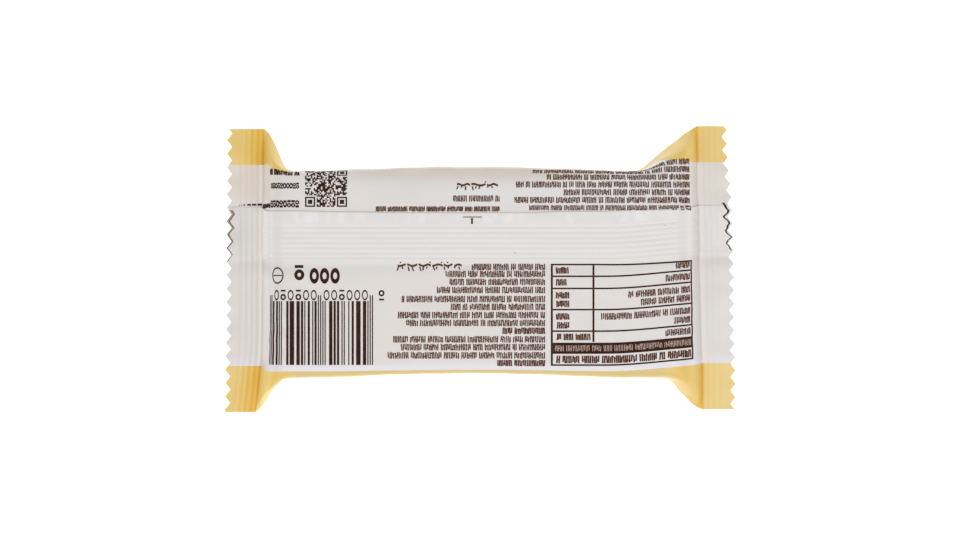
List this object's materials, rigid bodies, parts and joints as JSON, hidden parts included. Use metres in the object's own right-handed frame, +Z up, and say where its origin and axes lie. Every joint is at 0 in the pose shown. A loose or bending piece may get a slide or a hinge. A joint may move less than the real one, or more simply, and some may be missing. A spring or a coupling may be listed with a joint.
{
  "type": "wrapped white chocolate bar",
  "caption": "Thick white chocolate bar shut in a flow-wrap pack, with a fin seal folded flat along the back and a crimped zigzag seal at each end.",
  "frame": {"origin": "middle of the pack's box, on the plane that its underside rests on", "axes": "+X along the pack from one end seal to the other, +Y across it towards the side that the fin is folded to, +Z up out of the back with the fin"},
  "size_m": [0.1519, 0.0848, 0.0235],
  "materials": {
    "yellow_film": "satin printed film, pale yellow",
    "white_film": "satin printed film, pearl white",
    "dark_ink": "dark brown print"
  },
  "bodies": {
    "root": {"wrapped_bar": "yellow_film"}
  },
  "joints": []
}
